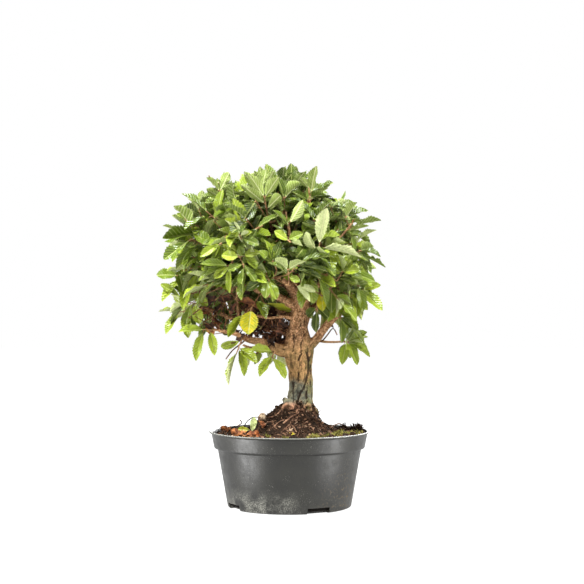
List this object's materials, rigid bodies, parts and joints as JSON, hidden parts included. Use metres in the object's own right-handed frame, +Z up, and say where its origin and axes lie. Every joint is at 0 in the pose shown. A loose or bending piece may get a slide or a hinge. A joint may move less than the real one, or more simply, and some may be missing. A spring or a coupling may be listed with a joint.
{
  "type": "japanese zelkova bonsai in a plastic training pot",
  "caption": "Small round-headed Japanese zelkova bonsai, full of saw-toothed green leaves, standing in mounded dark soil in a round dark grey plastic pot.",
  "frame": {"origin": "middle of the pot's flat base", "axes": "+Z up along the trunk, -Y towards the viewer of the picture, +X to that viewer's right"},
  "size_m": [0.2229, 0.1966, 0.3419],
  "materials": {
    "pot_plastic": "satin",
    "soil": "matte",
    "bark": "matte",
    "leaf": "satin",
    "dead_leaf": "matte",
    "seed": "matte"
  },
  "bodies": {
    "root": {"pot": "pot_plastic", "soil": "soil", "tree": "bark", "fallen_leaf_1": "dead_leaf", "fallen_leaf_2": "dead_leaf", "seed_husk": "seed", "spray_01": "leaf", "spray_02": "leaf", "spray_03": "leaf", "spray_04": "leaf", "spray_05": "leaf", "spray_06": "leaf", "spray_07": "leaf", "spray_08": "leaf", "spray_09": "leaf", "spray_10": "leaf", "spray_11": "leaf", "spray_12": "leaf", "spray_13": "leaf", "spray_14": "leaf", "spray_15": "leaf", "spray_16": "leaf", "spray_17": "leaf", "spray_18": "leaf", "spray_19": "leaf", "spray_20": "leaf", "spray_21": "leaf", "spray_22": "leaf", "spray_23": "leaf", "spray_24": "leaf", "spray_25": "leaf", "spray_26": "leaf", "spray_27": "leaf", "spray_28": "leaf", "spray_29": "leaf", "spray_30": "leaf", "spray_31": "leaf", "spray_32": "leaf", "spray_33": "leaf", "spray_34": "leaf", "spray_35": "leaf", "spray_36": "leaf", "spray_37": "leaf", "spray_38": "leaf", "spray_39": "leaf", "spray_40": "leaf", "spray_41": "leaf", "spray_42": "leaf", "spray_43": "leaf", "spray_44": "leaf", "spray_45": "leaf", "spray_46": "leaf", "spray_47": "leaf", "spray_48": "leaf", "spray_49": "leaf", "spray_50": "leaf", "spray_51": "leaf", "spray_52": "leaf", "spray_53": "leaf", "spray_54": "leaf"}
  },
  "joints": []
}
